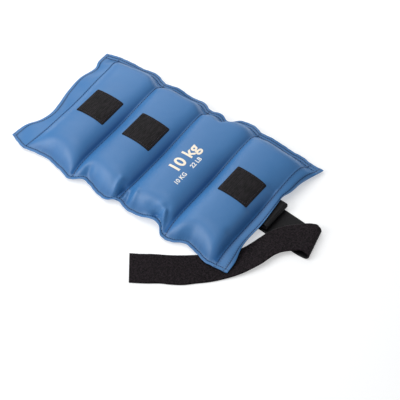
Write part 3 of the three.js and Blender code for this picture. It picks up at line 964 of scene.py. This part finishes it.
def make_stitches(tree, thread):
    parts = [[] for _ in COVER_PIECES]
    for xs, ys in stitch_rows():
        real = np.column_stack(lay_out(xs, ys))
        for k in range(len(real) - 1):
            index = piece_at((xs[k] + xs[k + 1]) / 2)
            parts[index] += sew(tree, real[k:k + 2], STITCH_LONG, STITCH_HALF)
    for index, spec in enumerate(COVER_PIECES):
        piece = mesh_object("stitches_" + spec["name"], *gathered(parts[index]), thread)
        fasten(piece, index)
        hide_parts(*spec["threads"])


# ---------------- hook patches
TAPE_WIDE = 50.8
HOOK_THICK = 1.2
RIB_PITCH = 2.54
RIB_STEPS = 4
PATCH_ROWS = 40
PATCH_CORNER = 2.2
PATCH_STITCH_IN = 3.2
PATCHED_CELLS = (1, 2, 4)
PATCH_SUNK = 0.25  # how far the tape's back is pressed into the vinyl
# The tape's thickness as shares: under its edges, more inside them, and the ribs on that
PATCH_THIN, PATCH_FULL, PATCH_RIBS = 0.20, 0.45, 0.35
PATCH_EDGE = 0.9  # how far in its edges are thin
PATCH_SEWN, PATCH_SEWN_WIDE = 0.35, 0.8  # depth and half width of the groove that its stitches press


def closed_grid(top, under, columns, rows):
    """Vertices and faces of a solid between two grids that are columns by rows points."""
    count = columns * rows
    faces = []
    for a, b, c, d in quads_of(columns, rows):
        faces.append((a, b, c, d))
        faces.append((count + d, count + c, count + b, count + a))
    rim = rim_of(columns, rows)
    for a, b in zip(rim, rim[1:] + rim[:1]):
        faces.append((a, count + a, count + b, b))
    return list(top) + list(under), faces


def rounded_corner(u, v, half, radius):
    """Pulls the corner of a square in to a round one."""
    inner = half - radius
    if abs(u) <= inner or abs(v) <= inner:
        return u, v
    du, dv = abs(u) - inner, abs(v) - inner
    reach = math.hypot(du, dv)
    scale = max(du, dv) / reach
    return math.copysign(inner + du * scale, u), math.copysign(inner + dv * scale, v)


def patch_height(u, v, half):
    """The tape's own thickness: moulded ribs along it, pressed flat where it is sewn and at its edges."""
    inward = half - max(abs(u), abs(v))
    rib = 0.5 + 0.5 * math.cos(2 * math.pi * u / RIB_PITCH)
    edge = min(1, inward / PATCH_EDGE)
    sewn = math.exp(-(((inward - PATCH_STITCH_IN) / PATCH_SEWN_WIDE) ** 2))
    return HOOK_THICK * (PATCH_FULL * edge + PATCH_THIN + PATCH_RIBS * rib * edge) - PATCH_SEWN * sewn


def make_patch(cell, cover_tree, hooks, thread):
    low, high = box_mm(f"cell_{cell}_hook_patch")
    middle_x, middle_y = (low.x + high.x) / 2, (low.y + high.y) / 2
    half = TAPE_WIDE / 2
    columns = int(TAPE_WIDE / RIB_PITCH) * RIB_STEPS
    us = np.linspace(-half, half, columns + 1)
    vs = np.linspace(-half, half, PATCH_ROWS + 1)
    top, under = [], []
    for u in us:
        for v in vs:
            x, y = rounded_corner(u, v, half, PATCH_CORNER)
            place, normal = drop_on(cover_tree, middle_x + x, middle_y + y)
            top.append(place + normal * patch_height(u, v, half))
            under.append(place - normal * PATCH_SUNK)
    piece = mesh_object(f"hook_patch_{cell}", *closed_grid(top, under, len(us), len(vs)), hooks)
    patch_tree = surface(piece)
    inset = half - PATCH_STITCH_IN
    corners = [(-inset, -inset), (inset, -inset), (inset, inset), (-inset, inset), (-inset, -inset)]
    sewn = []
    for (x0, y0), (x1, y1) in zip(corners[:-1], corners[1:]):
        steps = round(math.hypot(x1 - x0, y1 - y0) / STITCH_PITCH)
        run = [
            (middle_x + x0 + (x1 - x0) * k / steps, middle_y + y0 + (y1 - y0) * k / steps)
            for k in range(steps + 1)
        ]
        sewn += sew(patch_tree, run, STITCH_LONG, STITCH_HALF)
    stitches = mesh_object(f"hook_patch_{cell}_stitches", *gathered(sewn), thread)
    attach(piece, f"cell_{cell}")
    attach(stitches, f"cell_{cell}")
    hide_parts(f"cell_{cell}_hook_patch")
    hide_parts(f"cell_{cell}_hook_patch_thread")


# ---------------- printed rating on cell 3
# Name, words, size of type, x of the line they stand on, y of their middle, and ink
PRINTS = [
    ("print_rating", "10 kg", 26.0, 2.0, -8.0, "ink_cream"),
    ("print_rating_small", "10 KG     22 LB", 9.3, 15.2, -23.0, "ink_white"),
]
INKS = {"ink_cream": (0.95, 0.84, 0.68), "ink_white": (0.90, 0.90, 0.88)}
INK_THICK = 0.12
LETTER_BOLD = 0.026  # how much fatter the letters are, as a share of their size
LETTER_EDGE = 1.8  # the longest edge in a letter's mesh, so that it follows the vinyl
LETTER_CUTS = 4


def make_print(tree):
    for name, words, size, baseline_x, middle_y, ink in PRINTS:
        lay_text(name, words, size, baseline_x, middle_y, print_material(ink, INKS[ink]), tree)


def lay_text(name, words, size, baseline_x, middle_y, ink, tree):
    """Words printed on the cover, reading along +Y with their tops towards -X."""
    curve = bpy.data.curves.new(name, "FONT")
    curve.body = words
    curve.size = size
    curve.align_x = "CENTER"
    curve.offset = size * LETTER_BOLD
    written = put(name + "_text", curve)
    bpy.context.view_layer.update()
    graph = bpy.context.evaluated_depsgraph_get()
    flat = bpy.data.meshes.new_from_object(written.evaluated_get(graph), depsgraph=graph)
    bpy.data.objects.remove(written)
    shape = bmesh.new()
    shape.from_mesh(flat)
    bmesh.ops.triangulate(shape, faces=shape.faces[:])
    for _ in range(LETTER_CUTS):
        long = [edge for edge in shape.edges if edge.calc_length() > LETTER_EDGE]
        if not long:
            break
        bmesh.ops.subdivide_edges(shape, edges=long, cuts=1)
        bmesh.ops.triangulate(shape, faces=shape.faces[:])
    for vertex in shape.verts:
        place, normal = drop_on(tree, baseline_x - vertex.co.y, middle_y + vertex.co.x)
        vertex.co = (place + normal * INK_THICK) * MM
    mesh = bpy.data.meshes.new(name)
    shape.to_mesh(mesh)
    shape.free()
    mesh.shade_smooth()
    mesh.materials.append(ink)
    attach(put(name, mesh), "cell_3")


# ---------------- lead shot
FILL_SIDE = 0.66  # half width, as a share of half a cell
FILL_END = 80.0  # half length
FILL_INSET = 7.0
FILL_LIFT = 1.5
FILL_LEAST = 0.5
FILL_COLUMNS, FILL_ROWS = 15, 31


def make_fills(lead):
    for cell in CELLS:
        xs = CELL_MIDDLE[cell] + np.linspace(-FILL_SIDE, FILL_SIDE, FILL_COLUMNS) * PITCH / 2
        ys = np.linspace(-FILL_END, FILL_END, FILL_ROWS)
        flat_x, flat_y = (a.ravel() for a in np.meshgrid(xs, ys, indexing="ij"))
        real_x, real_y = lay_out(flat_x, flat_y)
        low = under_height(flat_x, flat_y) + FILL_LIFT
        high = np.maximum(top_height(flat_x, flat_y) - FILL_INSET, low + FILL_LEAST)
        top = np.column_stack([real_x, real_y, high])
        under = np.column_stack([real_x, real_y, low])
        piece = mesh_object(f"shot_{cell}", *closed_grid(top, under, len(xs), len(ys)), lead)
        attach(piece, f"cell_{cell}")
        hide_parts(f"cell_{cell}_shot_fill")


# ---------------- the strap
STRAP_HALF = 0.95  # half of its thickness
TABLE_Z = 1.3  # middle of the tape where it lies on the table
ROOT_Z = 9.8  # middle of the tape under the margin
BACK_Z = 5.6  # middle of the layer that runs back under it
ROLL_X = 149.2  # where the roll begins
TUCK_X = 138.0  # where the second layer turns forward again
ROOT_START = 2.4  # from the margin's seam to the sewn end
ROOT_Y = 5.5
RUN_START_Y = 0.6
RUN_END_Y = -3.0
RUN_CLEAR = 6.0  # how far past the tuck the lower run starts
RUN_END_X = 204.0
HALF_TAPE = TAPE_WIDE / 2
STRAP_STEP = 1.7
ACROSS_STEPS = 28
FEWEST_STEPS = 6
EVEN_SHARE = 0.65  # how even the points across are, the rest being closer together at the edges
EDGE_ROUND = 1.2  # how far in from its edges the tape is rounded
EDGE_THIN = 0.02  # the square of its least thickness there, as a share
FUZZ = 0.16  # how uneven the pile is
CLOSEST = 0.25  # stations of the ribbon nearer than this are merged
ROOT_STEPS, RUN_STEPS, TURN_STEPS = 10, 12, 10
LONG_RIBBON = 100.0  # a ribbon longer than this keeps its own stations too, for its folds
ROOT_SEED, BAND_SEED = 3, 5


def half_turn(x, start_z, end_z, side):
    """Points of a half circle in XZ, from one height to the other, bulging to +X (1) or to -X (-1)."""
    middle, radius = (start_z + end_z) / 2, abs(start_z - end_z) / 2
    sign = 1 if start_z > end_z else -1
    turns = [math.pi * k / TURN_STEPS for k in range(TURN_STEPS + 1)]
    return [(x + side * radius * math.sin(turn), middle + sign * radius * math.cos(turn)) for turn in turns]


def crossing(x, z, middle_y):
    """The far and near edge points of a tape that runs along X."""
    return (x, middle_y + HALF_TAPE, z), (x, middle_y - HALF_TAPE, z)


def root_stations():
    return [crossing(x, ROOT_Z, ROOT_Y) for x in np.linspace(SEAM_X[-1] + ROOT_START, ROLL_X, ROOT_STEPS)]


def fold_stations():
    """Roll, second layer, and the lower run on the table."""
    path = half_turn(ROLL_X, ROOT_Z, BACK_Z, 1) + half_turn(TUCK_X, BACK_Z, TABLE_Z, -1)
    share = np.linspace(0, 1, len(path))
    stations = [crossing(x, z, ROOT_Y + (RUN_START_Y - ROOT_Y) * s) for (x, z), s in zip(path, share)]
    for x in np.linspace(TUCK_X + RUN_CLEAR, RUN_END_X, RUN_STEPS):
        t = (x - TUCK_X) / (RUN_END_X - TUCK_X)
        stations.append(crossing(x, TABLE_Z, RUN_START_Y + (RUN_END_Y - RUN_START_Y) * t))
    return stations


# The far and near end of the oblique crease, and each edge's start before it and drift at each step
TURN_EDGES = [((214.5, 24.1), 1.2, 0.24), ((226.0, -24.6), 2.4, 0.3)]
TURN_TOP_Z = 9.4


def turn_edge(crease, back, step):
    """One edge of the turn: a half circle, drifting along Y as it goes over."""
    radius = (TURN_TOP_Z - TABLE_Z) / 2
    points = half_turn(crease[0] - radius - STRAP_HALF, TABLE_Z, TURN_TOP_Z, 1)
    return [(x, crease[1] - back + step * k, z) for k, (x, z) in enumerate(points)]


def turn_stations():
    """The turn over an oblique crease, further out at the near edge."""
    return list(zip(*(turn_edge(*edge) for edge in TURN_EDGES)))


# The band's far and near edge from the turn, under the cuff's corner, to the free end
BAND = [
    ((204.7, 27, 9.0), (212.5, -23.4, 9.4)),
    ((195.5, 23.5, 8.2), (206, -27.5, 8.2)),
    ((186, 16, 7.2), (197.5, -34.5, 7.4)),
    ((177, 8.5, 6.2), (190.5, -42.5, 7.2)),
    ((168.5, 0.5, 5.2), (186, -52, 7.4)),
    ((160.5, -11, 4.4), (183.5, -62, 7.6)),
    ((154.5, -24, 3.4), (181, -72, 7.2)),
    ((150, -38, 2.4), (177.5, -81, 6.4)),
    ((146, -52, 1.7), (173.5, -90, 5.6)),
    ((141, -66, 1.3), (168.5, -100, 4.4)),
    ((133.5, -77.5, 1.1), (161.5, -111, 3.0)),
    ((124, -88, 1.1), (152.5, -123, 1.8)),
    ((112, -100.5, 1.1), (140.5, -137.5, 1.1)),
    ((98, -113, 1.1), (126.5, -151.5, 1.1)),
    ((84.1, -124.5, 1.1), (113.1, -164.8, 1.1)),
    ((68, -136.5, 1.1), (98.5, -175, 1.1)),
    ((47, -150, 1.1), (86.5, -182, 1.1)),
    ((35, -159, 1.1), (70, -194.5, 1.1)),
    ((20.9, -168.1, 1.1), (51.5, -207, 1.1)),
]


def make_ribbon(name, stations, back, pile, seed):
    """A tape with rounded edges through the stations, with pile on its under side, and its length."""
    far = np.array([s[0] for s in stations], float)
    near = np.array([s[1] for s in stations], float)
    middle = (far + near) / 2
    steps = np.linalg.norm(np.diff(middle, axis=0), axis=1)
    along = np.concatenate([[0], np.cumsum(steps)])
    length = along[-1]
    fine = np.linspace(0, length, max(FEWEST_STEPS, round(length / STRAP_STEP)) + 1)
    crisp = np.unique(np.concatenate([fine, along])) if length > LONG_RIBBON else fine
    fine = crisp[np.concatenate([[True], np.diff(crisp) > CLOSEST])]
    far = np.column_stack([through(np.column_stack([along, far[:, k]]), fine) for k in range(3)])
    near = np.column_stack([through(np.column_stack([along, near[:, k]]), fine) for k in range(3)])
    middle = (far + near) / 2
    tangent = np.gradient(middle, fine, axis=0)
    across = near - far
    normal = np.cross(across, tangent)
    normal /= np.linalg.norm(normal, axis=1, keepdims=True)
    shares = 0.5 - 0.5 * np.cos(np.linspace(0, math.pi, ACROSS_STEPS + 1))
    shares = (1 - EVEN_SHARE) * shares + EVEN_SHARE * np.linspace(0, 1, ACROSS_STEPS + 1)
    inward = np.minimum(shares, 1 - shares) * TAPE_WIDE
    rounded = 1 - (1 - np.clip(inward / EDGE_ROUND, 0, 1)) ** 2
    half = STRAP_HALF * np.sqrt(np.clip(rounded, EDGE_THIN, 1))
    random.seed(seed)
    top, under = [], []
    for k in range(len(fine)):
        for j, share in enumerate(shares):
            place = far[k] + across[k] * share
            fuzz = random.uniform(-FUZZ, FUZZ)
            top.append(place + normal[k] * half[j])
            under.append(place - normal[k] * (half[j] + fuzz))
    piece = mesh_object(name, *closed_grid(top, under, len(fine), len(shares)), back)
    piece.data.materials.append(pile)
    count = len(top)
    for polygon in piece.data.polygons:
        polygon.material_index = 0 if all(k < count for k in polygon.vertices) else 1
    return piece, length


def make_strap():
    back, pile = webbing_material(), pile_material()
    root, root_long = make_ribbon("strap_root", root_stations(), back, pile, ROOT_SEED)
    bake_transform(root)
    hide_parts("strap_anchor")
    band, band_long = make_ribbon(
        "strap_long", fold_stations() + turn_stations() + BAND, back, pile, BAND_SEED
    )
    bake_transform(band)
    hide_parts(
        "strap_root_fold", "strap_lower_run", "strap_turn", "strap_band", "strap_tail"
    )


# ---------------- everything
make_camera()
make_lights()
make_floor()
VINYL = vinyl_material()
BLACK_THREAD = thread_material("thread_black", (0.07, 0.062, 0.07))
COVER = make_cover(VINYL)
COVER_TREE = surface(COVER)
split_cover(COVER, VINYL)
bpy.data.objects.remove(COVER)
make_stitches(COVER_TREE, thread_material("thread_navy", (0.006, 0.030, 0.12)))
HOOKS = hook_material()
for patched in PATCHED_CELLS:
    make_patch(patched, COVER_TREE, HOOKS, BLACK_THREAD)
make_print(COVER_TREE)
make_fills(shot_material())
make_strap()
